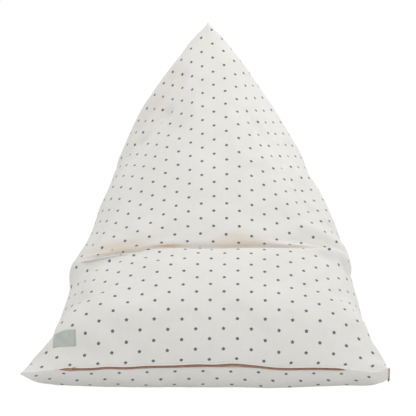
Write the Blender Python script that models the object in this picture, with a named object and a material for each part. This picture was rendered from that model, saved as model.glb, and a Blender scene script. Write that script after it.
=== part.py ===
# Floor bean bag: one cloth tube, sewn flat from left to right along the front, where the zip is,
# and sewn flat from front to back at the top, so that it fills out to a leaning backrest with a peak.
# Millimetres in the tables, metres in the model. X to the sitter's left, Y to the back, Z up.
# A place on the cloth is (around, along): around is 0 on the front centre line, 375 at the right
# front corner and 750 on the underside centre line; along is 0 at the front seam.

import math
from collections import namedtuple

import bmesh
import bpy
from mathutils import Vector
from mathutils.bvhtree import BVHTree

MM = 0.001

# Cloth
TUBE_LENGTH = 1045.0
HALF_ROUND = 750.0
CORNER_AROUND = HALF_ROUND / 2.0
COLUMNS_AROUND = 72
LOOP_STEPS = 432
CURVE_STEPS = 90

# The sharp turns of a section are eased over this many loop steps each way, less near both seams
EASE_STEPS = 8
EASE_IN_FRONT = 120.0
EASE_IN_TOP = 90.0
LAY_REACH = 60.0

# Centre lines: how high and how far back the crown and the underside centre are at each section.
# The underside is drawn a little below the floor, which then flattens it.
Profile = namedtuple("Profile", "along crown_y crown_z under_y under_z")
PROFILE = [
    Profile(0, -500, 59, -500, 59),
    Profile(50, -485, 106, -470, 15),
    Profile(76, -471, 129, -450, -1),
    Profile(100, -456, 149, -426, -7),
    Profile(200, -376, 213, -326, -8),
    Profile(300, -287, 251, -227, -8),
    Profile(320, -269, 255, -207, -8),
    Profile(348, -258, 228, -179, -8),
    Profile(372, -251, 249, -155, -8),
    Profile(391, -245, 265, -136, -8),
    Profile(400, -239, 271, -127, -8),
    Profile(500, -169, 336, -27, -8),
    Profile(600, -99, 402, 73, -6),
    Profile(700, -26, 470, 173, 0),
    Profile(800, 49, 540, 273, 11),
    Profile(900, 123, 608, 372, 21),
    Profile(980, 182, 666, 451, 29),
    Profile(TUBE_LENGTH, 226, 716, 515, 36),
]

# Side lines: half widths, the height share where the section is widest, how full the shoulders
# above and the base below are (2 is an ellipse, more is squarer), and how far back the sides stand.
Side = namedtuple(
    "Side", "along right left widest shoulder_right shoulder_left base back_right back_left"
)
SIDES = [
    Side(0, 360, 373, 0.45, 2.2, 2.2, 5.0, 0, 5),
    Side(50, 362, 369, 0.43, 2.9, 2.3, 7.0, 20, 30),
    Side(100, 340, 328, 0.37, 3.9, 4.1, 6.0, 32, 22),
    Side(200, 331, 317, 0.40, 2.5, 2.4, 4.6, 22, 12),
    Side(300, 322, 308, 0.47, 2.75, 2.4, 3.2, 15, 14),
    Side(320, 317, 304, 0.62, 3.2, 2.8, 3.0, 18, 16),
    Side(348, 315, 305, 0.84, 3.6, 3.2, 3.0, 32, 18),
    Side(400, 324, 299, 0.70, 1.7, 1.75, 2.8, 34, 28),
    Side(500, 303, 277, 0.70, 2.1, 1.8, 2.5, 28, 42),
    Side(600, 284, 260, 0.69, 2.0, 1.8, 2.1, 30, 30),
    Side(700, 256, 239, 0.69, 1.75, 1.65, 1.9, 42, 33),
    Side(800, 230, 219, 0.70, 1.6, 1.5, 1.7, 42, 42),
    Side(900, 157, 162, 0.82, 1.65, 1.5, 1.6, 38, 38),
    Side(980, 81, 88, 0.88, 2.3, 1.9, 1.6, 32, 10),
    Side(1020, 39, 43, 0.94, 2.2, 2.1, 1.6, 16, 8),
    Side(TUBE_LENGTH, 0, 0, 0.96, 1.8, 1.8, 1.6, 10, 12),
]

# Height of the front seam above the floor across the width, a little wavy as it lies.
Seam = namedtuple("Seam", "across height")
SEAM = [
    Seam(-373, 43),
    Seam(-300, 52.5),
    Seam(-150, 58.5),
    Seam(-20, 62),
    Seam(50, 63),
    Seam(110, 59),
    Seam(170, 55),
    Seam(276, 53),
    Seam(360, 44),
]
SEAM_REACH = 190.0

# Folds and troughs pressed into the cloth, from start to end, out of the surface or into it.
Fold = namedtuple("Fold", "name start_around start_along end_around end_along width rise")
FOLDS = [
    Fold("left trough, upper", -85, 890, -100, 800, 24, -5),
    Fold("left trough, lower", -100, 800, -240, 715, 28, -8),
    Fold("right ridge, long", 95, 745, 300, 585, 20, 4),
    Fold("right ridge, short", 200, 540, 300, 500, 20, 4),
    Fold("ridge at the crease end", 215, 450, 315, 432, 18, 7),
    Fold("pinch at the crease end", 245, 322, 325, 360, 22, -6),
    Fold("pinch at the left crease end", -265, 320, -315, 362, 20, -7),
]

# Spacing of the sections along the tube. Two of them are the lower and the upper edge of the label.
LABEL_ALONG = (57.0, 91.0)
Run = namedtuple("Run", "start end steps")
RUNS = [
    Run(0, LABEL_ALONG[0], 4),
    Run(LABEL_ALONG[0], LABEL_ALONG[1], 2),
    Run(LABEL_ALONG[1], 300, 10),
    Run(300, 400, 11),
    Run(400, 900, 20),
    Run(900, TUBE_LENGTH, 7),
]

# Zip in the front seam
ZIP_LEFT = -295.0
ZIP_RIGHT = 271.0
ZIP_HEIGHT = 5.4
ZIP_THICK = 1.6
RECESS_HALF = 3.2
RECESS_DEEP = 3.0
RECESS_SPARE = 18.0
GAP = 0.3

# Slider and its oval puller
SLIDER_X = -279.0
SLIDER_LONG = 16.0
SLIDER_TALL = 5.2
SLIDER_THICK = 3.0
SLIDER_ROUND = 0.9
PULLER_X = SLIDER_X + SLIDER_LONG / 2.0 + 4.2
PULLER_LIFT = 3.0
PULLER_LONG = 8.0
PULLER_TALL = 5.0
PULLER_WIRE = 1.3

# Sewn-on label, by its place on the cloth. It bends on the lines where the cover's faces meet.
LABEL_STEP = 2.0 * HALF_ROUND / COLUMNS_AROUND / 3.0
LABEL_START = -47.0 * LABEL_STEP
LABEL_COLUMNS = 8
LABEL_ROWS = 6
LABEL_THICK = 1.0
LABEL_CLEAR = 0.4
PROBE_AWAY = 30.0

# Both corners end blunt: over how long a stretch of the seam and how far up the cloth, and half
# how tall at the end
BLUNT_STRETCH = 50.0
BLUNT_REACH = 60.0
BLUNT_LEFT = 8.0
BLUNT_RIGHT = 15.0

# Folded tape tab in the right corner
TAB_TALL = 26.0
TAB_LONG = 13.0
TAB_LEAF = 1.5
TAB_SLOT = 1.2
TAB_TURN = math.radians(72)


def clear_scene():
    for thing in list(bpy.data.objects):
        bpy.data.objects.remove(thing)


def make_material(name, colour, roughness, metallic=0.0):
    finish = bpy.data.materials.new(name)
    finish.use_nodes = True
    shader = finish.node_tree.nodes["Principled BSDF"]
    shader.inputs["Base Color"].default_value = (*colour, 1.0)
    shader.inputs["Roughness"].default_value = roughness
    shader.inputs["Metallic"].default_value = metallic
    return finish


def add_piece(name, bm, finish, smooth_angle=math.radians(40)):
    bmesh.ops.recalc_face_normals(bm, faces=bm.faces)
    if bm.calc_volume(signed=True) < 0.0:
        bmesh.ops.reverse_faces(bm, faces=bm.faces)
    mesh = bpy.data.meshes.new(name)
    bm.to_mesh(mesh)
    bm.free()
    mesh.shade_smooth()
    mesh.set_sharp_from_angle(angle=smooth_angle)
    mesh.materials.append(finish)
    piece = bpy.data.objects.new(name, mesh)
    bpy.context.scene.collection.objects.link(piece)
    return piece


# A smooth curve through one column of a table that never overshoots its rows
def column_curve(table, key, column):
    places = [getattr(row, key) for row in table]
    values = [getattr(row, column) for row in table]
    widths = [b - a for a, b in zip(places, places[1:])]
    rises = [(b - a) / w for a, b, w in zip(values, values[1:], widths)]
    slopes = [0.0]
    for before, after, left, right in zip(rises, rises[1:], widths, widths[1:]):
        if before * after <= 0.0:
            slopes.append(0.0)
            continue
        share_a = 2.0 * right + left
        share_b = right + 2.0 * left
        slopes.append((share_a + share_b) / (share_a / before + share_b / after))
    slopes.append(rises[-1])
    slopes[0] = rises[0]

    def value_at(place):
        place = min(max(place, places[0]), places[-1])
        k = max(i for i in range(len(widths)) if places[i] <= place)
        u = (place - places[k]) / widths[k]
        rise_in = slopes[k] * widths[k]
        rise_out = slopes[k + 1] * widths[k]
        step = values[k + 1] - values[k]
        bend = u * (rise_in + u * (3.0 * step - 2.0 * rise_in - rise_out + u * (rise_in + rise_out - 2.0 * step)))
        return values[k] + bend

    return value_at


PROFILE_CURVES = {c: column_curve(PROFILE, "along", c) for c in Profile._fields[1:]}
SIDE_CURVES = {c: column_curve(SIDES, "along", c) for c in Side._fields[1:]}
SEAM_HEIGHT = column_curve(SEAM, "across", "height")


# Half a section, from the crown round one side to the underside centre, as a dense line
def half_section(along, side):
    centre = {name: curve(along) for name, curve in PROFILE_CURVES.items()}
    shape = {name: curve(along) for name, curve in SIDE_CURVES.items()}
    across = 1.0 if side == "right" else -1.0
    seam_share = 0.5 + 0.5 * math.cos(math.pi * min(along / SEAM_REACH, 1.0))
    line = []
    for step in range(CURVE_STEPS + 1):
        turn = math.pi * step / CURVE_STEPS
        above = step * 2 <= CURVE_STEPS
        power = 2.0 / (shape["shoulder_" + side] if above else shape["base"])
        reach = abs(math.sin(turn)) ** power if 0 < step < CURVE_STEPS else 0.0
        swing = abs(math.cos(turn)) ** power
        widest = shape["widest"]
        share = widest + (1.0 - widest) * swing if above else widest * (1.0 - swing)
        x = across * shape[side] * reach
        y = centre["under_y"] + (centre["crown_y"] - centre["under_y"]) * share
        y += shape["back_" + side] * reach ** 2
        z = centre["under_z"] + (centre["crown_z"] - centre["under_z"]) * share
        z += (SEAM_HEIGHT(x) - PROFILE[0].crown_z) * seam_share
        line.append(Vector((x, y, max(z, 0.0))))
    return line


def smooth_step(value):
    value = min(max(value, 0.0), 1.0)
    return value * value * (3.0 - 2.0 * value)


# The points on a half section at even steps of its cloth. The cloth above the corner line lies at
# its own length and the underside takes the rest, but near both seams all of it is spread evenly.
def lay_cloth(line, along, count):
    lengths = [0.0]
    for a, b in zip(line, line[1:]):
        lengths.append(lengths[-1] + (b - a).length)
    keep = smooth_step(min(along, TUBE_LENGTH - along) / LAY_REACH)
    points = []
    k = 0
    for n in range(count + 1):
        share = n / count
        even = lengths[-1] * share
        own = HALF_ROUND * share
        if share > 0.5:
            own = CORNER_AROUND + (lengths[-1] - CORNER_AROUND) * (2.0 * share - 1.0)
        target = even + (own - even) * keep
        while k < len(line) - 2 and lengths[k + 1] < target:
            k += 1
        span = lengths[k + 1] - lengths[k]
        points.append(line[k].lerp(line[k + 1], (target - lengths[k]) / span if span else 0.0))
    return points


# One whole section as a dense loop: from the underside centre up the left side to the crown,
# then down the right side
def section_loop(along):
    right = lay_cloth(half_section(along, "right"), along, LOOP_STEPS // 2)
    left = lay_cloth(half_section(along, "left"), along, LOOP_STEPS // 2)
    loop = list(reversed(left)) + right[1:-1]
    ease = min(1.0, along / EASE_IN_FRONT, (TUBE_LENGTH - along) / EASE_IN_TOP)
    window = range(-EASE_STEPS, EASE_STEPS + 1)
    eased = []
    for n, point in enumerate(loop):
        total = Vector((0.0, 0.0, 0.0))
        for step in window:
            total += loop[(n + step) % LOOP_STEPS]
        eased.append(point.lerp(total / len(window), ease))
    return eased


# The cover's own section: column 0 on the underside centre, the crown half way
def section_ring(along):
    return section_loop(along)[::LOOP_STEPS // COLUMNS_AROUND]


def stations():
    places = [0.0]
    for run in RUNS:
        for step in range(1, run.steps + 1):
            places.append(run.start + (run.end - run.start) * step / run.steps)
    return places


# How far the folds lift or sink the cloth at one place
def fold_rise(around, along):
    total = 0.0
    here = Vector((around, along))
    for fold in FOLDS:
        start = Vector((fold.start_around, fold.start_along))
        run = Vector((fold.end_around, fold.end_along)) - start
        share = (here - start).dot(run) / run.length_squared
        nearest = start + run * min(max(share, 0.0), 1.0)
        away = (here - nearest).length / fold.width
        total += fold.rise * math.exp(-away * away)
    return total


def press_folds(rings, places):
    columns = len(rings[0])
    pressed = [[point.copy() for point in ring] for ring in rings]
    for r in range(1, len(rings) - 1):
        for c in range(columns):
            around = (2.0 * c / columns - 1.0) * HALF_ROUND
            rise = fold_rise(around, places[r])
            if abs(rise) < 0.05:
                continue
            run_round = rings[r][(c + 1) % columns] - rings[r][c - 1]
            run_along = rings[r + 1][c] - rings[r - 1][c]
            pressed[r][c] += run_round.cross(run_along).normalized() * rise
    return pressed


# Half the height that a blunt corner adds at one place across
def blunt_half(across):
    end, tall = (SIDES[0].right, BLUNT_RIGHT) if across > 0.0 else (-SIDES[0].left, BLUNT_LEFT)
    return tall * (1.0 - smooth_step(abs(end - across) / BLUNT_STRETCH))


# Both sides of the cloth stand apart behind the blunt corners
def open_corners(rings, places):
    quarter = COLUMNS_AROUND // 4
    for ring, place in zip(rings[1:], places[1:]):
        fade = 1.0 - smooth_step(place / BLUNT_REACH)
        for c, point in enumerate(ring):
            if c in (quarter, 3 * quarter):
                continue
            way = 1.0 if quarter < c < 3 * quarter else -1.0
            point.z = max(point.z + way * blunt_half(point.x) * fade, 0.0)


# Half height and depth of the opening in the front seam: the blunt corners and the zip's recess
def seam_opening(across):
    half = blunt_half(across)
    if half > 0.0:
        return half, 0.0
    if ZIP_LEFT - RECESS_SPARE < across < ZIP_RIGHT + RECESS_SPARE:
        return RECESS_HALF, RECESS_DEEP
    return 0.0, 0.0


# Two triangles that meet on the line from the first corner to the third
def split_face(bm, first, second, third, fourth):
    for corners in ((first, second, third), (first, third, fourth)):
        bm.faces.new(corners)


def make_cover(finish):
    places = stations()
    rings = press_folds([section_ring(place) for place in places], places)
    open_corners(rings, places)
    quarter = COLUMNS_AROUND // 4
    left_corner = quarter
    right_corner = 3 * quarter

    bm = bmesh.new()
    rows = [[bm.verts.new(point * MM) for point in ring] for ring in rings[1:-1]]
    for near, far in zip(rows, rows[1:]):
        for c in range(COLUMNS_AROUND):
            d = (c + 1) % COLUMNS_AROUND
            bm.faces.new((near[c], near[d], far[d], far[c]))

    # Front seam: an upper and a lower lip, and the floor of the recess between them
    edges = {"upper": [], "floor_upper": [], "floor_lower": [], "lower": []}
    for c in range(left_corner, right_corner + 1):
        point = rings[0][c]
        half, deep = seam_opening(point.x)
        for name, up, back in (
            ("upper", half, 0.0),
            ("floor_upper", half, deep),
            ("floor_lower", -half, deep),
            ("lower", -half, 0.0),
        ):
            edges[name].append(bm.verts.new((point + Vector((0.0, back, up))) * MM))
    first = rows[0]
    span = right_corner - left_corner
    for k in range(span):
        over = left_corner + k
        under = (left_corner - k) % COLUMNS_AROUND
        under_next = (left_corner - k - 1) % COLUMNS_AROUND
        split_face(bm, edges["upper"][k], edges["upper"][k + 1], first[over + 1], first[over])
        split_face(bm, edges["lower"][k], first[under], first[under_next], edges["lower"][k + 1])
        for a, b in (("upper", "floor_upper"), ("floor_upper", "floor_lower"), ("floor_lower", "lower")):
            bm.faces.new((edges[b][k], edges[b][k + 1], edges[a][k + 1], edges[a][k]))
    bm.faces.new((edges["upper"][-1], edges["lower"][-1], first[right_corner]))
    bm.faces.new((edges["upper"][0], first[left_corner], edges["lower"][0]))

    # Top seam: both sides of the tube meet on one line from the peak to the tail
    last = rows[-1]
    half = COLUMNS_AROUND // 2
    top = section_ring(TUBE_LENGTH)
    closing = [bm.verts.new(point * MM) for point in top[half:] + top[:1]]
    for k in range(half):
        right = last[half + k], last[(half + k + 1) % COLUMNS_AROUND]
        left = last[half - k], last[half - k - 1]
        if k < half // 2:
            split_face(bm, closing[k], right[0], right[1], closing[k + 1])
            split_face(bm, closing[k], closing[k + 1], left[1], left[0])
        else:
            split_face(bm, closing[k + 1], closing[k], right[0], right[1])
            split_face(bm, closing[k + 1], left[1], left[0], closing[k])

    bmesh.ops.remove_doubles(bm, verts=bm.verts, dist=0.01 * MM)
    bmesh.ops.triangulate(bm, faces=bm.faces, quad_method="SHORT_EDGE")
    return add_piece("cover", bm, finish)


# The front seam's line between two places across, and how it lies there
def seam_point(across):
    side = "right" if across >= 0.0 else "left"
    reach = abs(across) / getattr(SIDES[0], side)
    y = PROFILE[0].crown_y + getattr(SIDES[0], "back_" + side) * reach ** 2
    return Vector((across, y, SEAM_HEIGHT(across)))


def make_zip(finish):
    upper_half = section_ring(0.0)[COLUMNS_AROUND // 4:3 * COLUMNS_AROUND // 4]
    columns = [point.x for point in upper_half if ZIP_LEFT + GAP < point.x < ZIP_RIGHT - GAP]
    centres = [seam_point(x) for x in [ZIP_LEFT + GAP] + columns + [ZIP_RIGHT - GAP]]
    back = RECESS_DEEP - GAP
    corners = [
        Vector((0.0, back - ZIP_THICK, -ZIP_HEIGHT / 2)),
        Vector((0.0, back, -ZIP_HEIGHT / 2)),
        Vector((0.0, back, ZIP_HEIGHT / 2)),
        Vector((0.0, back - ZIP_THICK, ZIP_HEIGHT / 2)),
    ]
    bm = bmesh.new()
    loops = [[bm.verts.new((centre + corner) * MM) for corner in corners] for centre in centres]
    for near, far in zip(loops, loops[1:]):
        for k in range(len(corners)):
            m = (k + 1) % len(corners)
            bm.faces.new((near[k], near[m], far[m], far[k]))
    bm.faces.new(loops[0])
    bm.faces.new(loops[-1])
    return add_piece("zip", bm, finish)


def make_slider(finish):
    centre = seam_point(SLIDER_X)
    back = RECESS_DEEP - GAP - ZIP_THICK - GAP
    bm = bmesh.new()
    bmesh.ops.create_cube(bm, size=1.0)
    bmesh.ops.scale(bm, verts=bm.verts, vec=Vector((SLIDER_LONG, SLIDER_THICK, SLIDER_TALL)) * MM)
    bmesh.ops.bevel(
        bm, geom=bm.edges, offset=SLIDER_ROUND * MM, segments=2, profile=0.5, affect="EDGES", material=-1
    )
    centre.y += back - SLIDER_THICK / 2
    bmesh.ops.translate(bm, verts=bm.verts, vec=centre * MM)
    return add_piece("zip_slider", bm, finish)


def make_puller(finish):
    ring_sides = 8
    ring_steps = 20
    centre = seam_point(PULLER_X)
    centre.y -= PULLER_WIRE / 2 + GAP
    centre.z += PULLER_LIFT
    bm = bmesh.new()
    loops = []
    for n in range(ring_steps):
        turn = 2.0 * math.pi * n / ring_steps
        outward = Vector((math.cos(turn), 0.0, math.sin(turn)))
        middle = Vector((
            outward.x * (PULLER_LONG - PULLER_WIRE) / 2,
            0.0,
            outward.z * (PULLER_TALL - PULLER_WIRE) / 2,
        ))
        loop = []
        for k in range(ring_sides):
            roll = 2.0 * math.pi * k / ring_sides
            wire = outward * math.cos(roll) + Vector((0.0, math.sin(roll), 0.0))
            loop.append(bm.verts.new((centre + middle + wire * PULLER_WIRE / 2) * MM))
        loops.append(loop)
    for n in range(ring_steps):
        near = loops[n]
        far = loops[(n + 1) % ring_steps]
        for k in range(ring_sides):
            m = (k + 1) % ring_sides
            bm.faces.new((near[k], near[m], far[m], far[k]))
    return add_piece("zip_puller", bm, finish)


# A place on the cover's cloth and the direction out of it
def cover_place(around, along):
    n = round((around / HALF_ROUND + 1.0) / 2.0 * LOOP_STEPS)
    probe = 4.0
    loop = section_loop(along)
    run_round = loop[(n + 1) % LOOP_STEPS] - loop[n - 1]
    run_along = section_loop(along + probe)[n] - section_loop(along - probe)[n]
    return loop[n], run_round.cross(run_along).normalized()


def make_label(finish, cover):
    cloth = BVHTree.FromPolygons([v.co for v in cover.data.vertices], [p.vertices for p in cover.data.polygons])
    bm = bmesh.new()
    grids = []
    for rise in (LABEL_CLEAR, LABEL_CLEAR + LABEL_THICK):
        grid = []
        for r in range(LABEL_ROWS + 1):
            along = LABEL_ALONG[0] + (LABEL_ALONG[1] - LABEL_ALONG[0]) * r / LABEL_ROWS
            row = []
            for c in range(LABEL_COLUMNS + 1):
                around = LABEL_START + LABEL_STEP * c
                here, out = cover_place(around, along)
                seat = cloth.ray_cast((here + out * PROBE_AWAY) * MM, -out)[0]
                row.append(bm.verts.new(seat + out * rise * MM))
            grid.append(row)
        grids.append(grid)
    for grid in grids:
        for r in range(LABEL_ROWS):
            for c in range(LABEL_COLUMNS):
                bm.faces.new((grid[r][c], grid[r][c + 1], grid[r + 1][c + 1], grid[r + 1][c]))
    inner, outer = grids
    for ends in (0, LABEL_ROWS):
        for c in range(LABEL_COLUMNS):
            bm.faces.new((inner[ends][c], inner[ends][c + 1], outer[ends][c + 1], outer[ends][c]))
    for ends in (0, LABEL_COLUMNS):
        for r in range(LABEL_ROWS):
            bm.faces.new((inner[r][ends], inner[r + 1][ends], outer[r + 1][ends], outer[r][ends]))
    return add_piece("label", bm, finish)


# The tab is a tape folded back on itself: a hairpin seen from above, drawn up to its height
def make_tab(finish):
    outer = TAB_LEAF + TAB_SLOT / 2
    inner = TAB_SLOT / 2
    arc_steps = 8
    outline = [(0.0, outer), (TAB_LONG - outer, outer)]
    outline += [
        (TAB_LONG - outer + outer * math.sin(a), outer * math.cos(a))
        for a in (math.pi * n / arc_steps for n in range(1, arc_steps))
    ]
    outline += [(TAB_LONG - outer, -outer), (0.0, -outer), (0.0, -inner), (TAB_LONG - outer, -inner)]
    outline += [
        (TAB_LONG - outer + inner * math.sin(a), -inner * math.cos(a))
        for a in (math.pi * n / arc_steps for n in range(1, arc_steps))
    ]
    outline += [(TAB_LONG - outer, inner), (0.0, inner)]

    corner = seam_point(SIDES[0].right)
    root = corner + Vector((GAP + outer * math.sin(TAB_TURN), 0.0, -TAB_TALL / 2))
    ahead = Vector((math.cos(TAB_TURN), math.sin(TAB_TURN), 0.0))
    aside = Vector((-math.sin(TAB_TURN), math.cos(TAB_TURN), 0.0))
    bm = bmesh.new()
    low = [bm.verts.new((root + ahead * u + aside * v) * MM) for u, v in outline]
    floor = bm.faces.new(low)
    raised = bmesh.ops.extrude_face_region(bm, geom=[floor])
    moved = [part for part in raised["geom"] if isinstance(part, bmesh.types.BMVert)]
    bmesh.ops.translate(bm, verts=moved, vec=Vector((0.0, 0.0, TAB_TALL * MM)))
    return add_piece("corner_tab", bm, finish)


# The origin lies on the floor under the middle of the whole bag
def centre_pieces(pieces):
    xs = [v.co.x for piece in pieces for v in piece.data.vertices]
    ys = [v.co.y for piece in pieces for v in piece.data.vertices]
    shift = Vector((-(min(xs) + max(xs)) / 2, -(min(ys) + max(ys)) / 2, 0.0))
    for piece in pieces:
        for v in piece.data.vertices:
            v.co += shift
        piece.data.update()


def main():
    clear_scene()
    cotton = make_material("printed cotton", (0.78, 0.76, 0.73), 0.9)
    copper = make_material("copper brown tape", (0.33, 0.15, 0.09), 0.6)
    metal = make_material("copper brown metal", (0.36, 0.17, 0.10), 0.35, 0.7)
    woven = make_material("grey green weave", (0.42, 0.47, 0.42), 0.85)
    tan = make_material("tan tape", (0.50, 0.33, 0.19), 0.85)
    cover = make_cover(cotton)
    pieces = [
        cover,
        make_zip(copper),
        make_slider(metal),
        make_puller(metal),
        make_label(woven, cover),
        make_tab(tan),
    ]
    centre_pieces(pieces)


main()
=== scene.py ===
import math
from functools import partial

import bmesh
import bpy
import numpy as np
from mathutils import Matrix, Vector, noise
from mathutils.bvhtree import BVHTree


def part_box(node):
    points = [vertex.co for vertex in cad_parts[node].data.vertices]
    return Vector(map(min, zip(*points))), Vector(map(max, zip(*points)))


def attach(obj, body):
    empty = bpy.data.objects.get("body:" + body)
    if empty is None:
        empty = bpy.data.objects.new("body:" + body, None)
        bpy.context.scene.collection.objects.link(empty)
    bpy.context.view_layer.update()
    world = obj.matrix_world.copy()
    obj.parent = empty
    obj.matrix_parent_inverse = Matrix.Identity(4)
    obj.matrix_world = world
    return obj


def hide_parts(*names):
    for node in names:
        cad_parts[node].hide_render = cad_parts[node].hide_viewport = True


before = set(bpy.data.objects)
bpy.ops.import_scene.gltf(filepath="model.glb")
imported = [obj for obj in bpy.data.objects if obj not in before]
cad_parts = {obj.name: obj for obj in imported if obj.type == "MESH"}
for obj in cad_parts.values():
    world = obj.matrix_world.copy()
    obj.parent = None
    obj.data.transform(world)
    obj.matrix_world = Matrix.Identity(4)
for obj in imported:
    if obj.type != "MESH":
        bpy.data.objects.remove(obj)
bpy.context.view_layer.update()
print("frame loaded:", ", ".join(sorted(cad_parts)))

scene = bpy.context.scene
mm = 0.001

# The bag is a cloth tube. around runs from -750 to 750 with 0 on the front centre line,
# along runs from the front seam (0) to the top seam. Tables are in millimetres.
tubeLength = 1045.0
halfRound = 750.0

# along, crown back, crown height, underside back, underside height
profileRows = [
    (0, -500, 59, -500, 59),
    (50, -485, 106, -470, 15),
    (76, -471, 129, -450, -1),
    (100, -456, 149, -426, -7),
    (200, -376, 213, -326, -8),
    (300, -287, 251, -227, -8),
    (320, -269, 254, -207, -8),
    (348, -258, 234, -179, -8),
    (372, -251, 250, -155, -8),
    (391, -245, 265, -136, -8),
    (400, -239, 271, -127, -8),
    (500, -169, 336, -27, -8),
    (600, -99, 402, 73, -6),
    (700, -26, 470, 173, 0),
    (800, 49, 540, 273, 11),
    (900, 123, 608, 372, 21),
    (980, 182, 666, 451, 29),
    (tubeLength, 226, 716, 515, 36),
]

# along, right, left, widest share, shoulder right, shoulder left, base, back right, back left
sideRows = [
    (0, 360, 377, 0.45, 2.2, 2.2, 5.0, 0, 5),
    (50, 362, 369, 0.43, 2.9, 2.3, 7.0, 20, 30),
    (100, 340, 328, 0.37, 3.9, 4.1, 6.0, 32, 22),
    (200, 331, 317, 0.40, 2.5, 2.4, 4.6, 22, 12),
    (300, 319, 305, 0.47, 3.5, 2.5, 3.2, 15, 14),
    (320, 305, 300, 0.62, 6.4, 3.1, 3.0, 18, 16),
    (348, 305, 303, 0.84, 6.6, 3.5, 3.0, 32, 18),
    (400, 317, 302, 0.73, 2.05, 1.75, 2.8, 34, 28),
    (500, 303, 277, 0.70, 2.1, 1.8, 2.5, 28, 42),
    (600, 284, 260, 0.69, 2.0, 1.8, 2.1, 30, 30),
    (700, 256, 239, 0.69, 1.75, 1.65, 1.9, 42, 33),
    (800, 230, 219, 0.70, 1.6, 1.5, 1.7, 42, 42),
    (900, 157, 162, 0.82, 1.65, 1.5, 1.6, 38, 38),
    (980, 81, 87, 0.88, 2.3, 1.9, 1.6, 32, 10),
    (1020, 38, 38, 0.94, 2.2, 2.1, 1.6, 14, 8),
    (1036, 18, 15, 0.95, 2.0, 1.9, 1.6, 10, 8),
    (tubeLength, 0, 0, 0.96, 1.8, 1.8, 1.6, 10, 12),
]

# across, height of the front seam
seamRows = [
    (-373, 43), (-300, 52.5), (-231, 53.5), (-200, 56.5), (-168, 55.5),
    (-120, 58.5), (-65, 59.5), (-20, 62), (10, 61), (48, 63.5),
    (95, 59.5), (150, 54.2), (214, 54.8), (276, 53), (360, 44),
]

# start around, start along, end around, end along, width, rise
foldRows = [
    (-68, 890, -112, 806, 15, -7),
    (-112, 806, -186, 760, 16, -12),
    (-186, 760, -290, 752, 18, -9),
    (122, 788, 228, 624, 13, 6),
    (100, 790, 172, 650, 11, -5),
    (172, 650, 246, 510, 11, -6),
    (195, 572, 270, 506, 10, 6),
    (215, 450, 315, 432, 18, 7),
    (270, 326, 300, 330, 22, 8),
    (-160, 340, -250, 335, 40, -10),
    (236, 306, 262, 300, 8, -4),
    (282, 312, 318, 300, 8, -6),
    (232, 528, 300, 478, 8, -4),
    (250, 505, 312, 455, 9, 4),
]

# The grid, the easing into the seams, the zip's recess, and the two front corners, whose edges
# part (blunt) and which are pulled out to their full width
coverSettings = {
    "columns": 160, "sectionSteps": 90, "loopSteps": 432,
    "rowRuns": [  # from, to, rows
        (-6, 0, 2), (0, 9, 6), (9, 24, 2), (24, 304, 35),
        (304, 400, 16), (400, 980, 70), (980, tubeLength, 9),
    ],
    "easeSteps": 8, "easeFront": 120.0, "easeTop": 90.0, "seamReach": 190.0, "layReach": 60.0,
    "lipOpen": 2.6, "lipDeep": 3.0, "lipReach": 7.0, "pocketDeep": 4.5, "pocketAlong": -4,
    "bluntLeft": 6.0, "bluntRight": 16.0, "bluntStretch": 58.0, "bluntReach": 60.0,
    "bulgeRound": 3, "bulgeAlong": 18.0, "endReach": 14.0,
    "pullLeft": 0.5, "pullRight": 1.0, "pullStart": 9, "pullStretch": 24.0, "pullReach": 22.0,
}
zipOpening = {"left": -300.0, "right": 278.0, "taper": 14.0}


def smoothCurve(rows, column):
    places, values = [np.array([row[k] for row in rows], float) for k in (0, column)]
    widths = np.diff(places)
    rises = np.diff(values) / widths
    slopes = np.zeros(len(places))
    slopes[0], slopes[-1] = rises[0], rises[-1]
    for k in range(1, len(rises)):
        if rises[k - 1] * rises[k] > 0:
            a = 2 * widths[k] + widths[k - 1]
            b = widths[k] + 2 * widths[k - 1]
            slopes[k] = (a + b) / (a / rises[k - 1] + b / rises[k])

    def valueAt(place):
        place = np.clip(place, places[0], places[-1])
        k = np.clip(np.searchsorted(places, place, side="right") - 1, 0, len(widths) - 1)
        u = (place - places[k]) / widths[k]
        inward, outward = slopes[k] * widths[k], slopes[k + 1] * widths[k]
        step = values[k + 1] - values[k]
        bend = inward + outward - 2 * step
        return values[k] + u * (inward + u * (3 * step - 2 * inward - outward + u * bend))

    return valueAt


profileCurves = [smoothCurve(profileRows, k) for k in range(1, 5)]
sideCurves = [smoothCurve(sideRows, k) for k in range(1, 9)]
seamHeight = smoothCurve(seamRows, 1)

# The cover's low corner in the tables, and the way from the tables to the frame
tableCorner = (-0.373, -0.500)
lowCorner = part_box("cover")[0]
cadShift = np.array([lowCorner[0] - tableCorner[0], lowCorner[1] - tableCorner[1], 0.0]) / mm


def smoothStep(value):
    value = np.clip(value, 0, 1)
    return value * value * (3 - 2 * value)


def halfSection(along, side):
    crownY, crownZ, underY, underZ = [curve(along) for curve in profileCurves]
    shape = [curve(along) for curve in sideCurves]
    width, shoulder, back = shape[0::3] if side > 0 else shape[1::3]
    widest, base = shape[2::3]
    turn = np.linspace(0, math.pi, coverSettings["sectionSteps"] + 1)
    above = turn <= math.pi / 2 + 1e-9
    power = np.where(above, 2 / shoulder, 2 / base)
    reach = np.abs(np.sin(turn)) ** power
    reach[0] = reach[-1] = 0
    swing = np.abs(np.cos(turn)) ** power
    share = np.where(above, widest + (1 - widest) * swing, widest * (1 - swing))
    x = side * width * reach
    y = underY + (crownY - underY) * share + back * reach ** 2
    seamShare = 0.5 + 0.5 * math.cos(math.pi * min(along / coverSettings["seamReach"], 1))
    z = underZ + (crownZ - underZ) * share + (seamHeight(x) - profileRows[0][2]) * seamShare
    return np.stack([x, y, np.maximum(z, 0)], axis=1)


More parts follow.
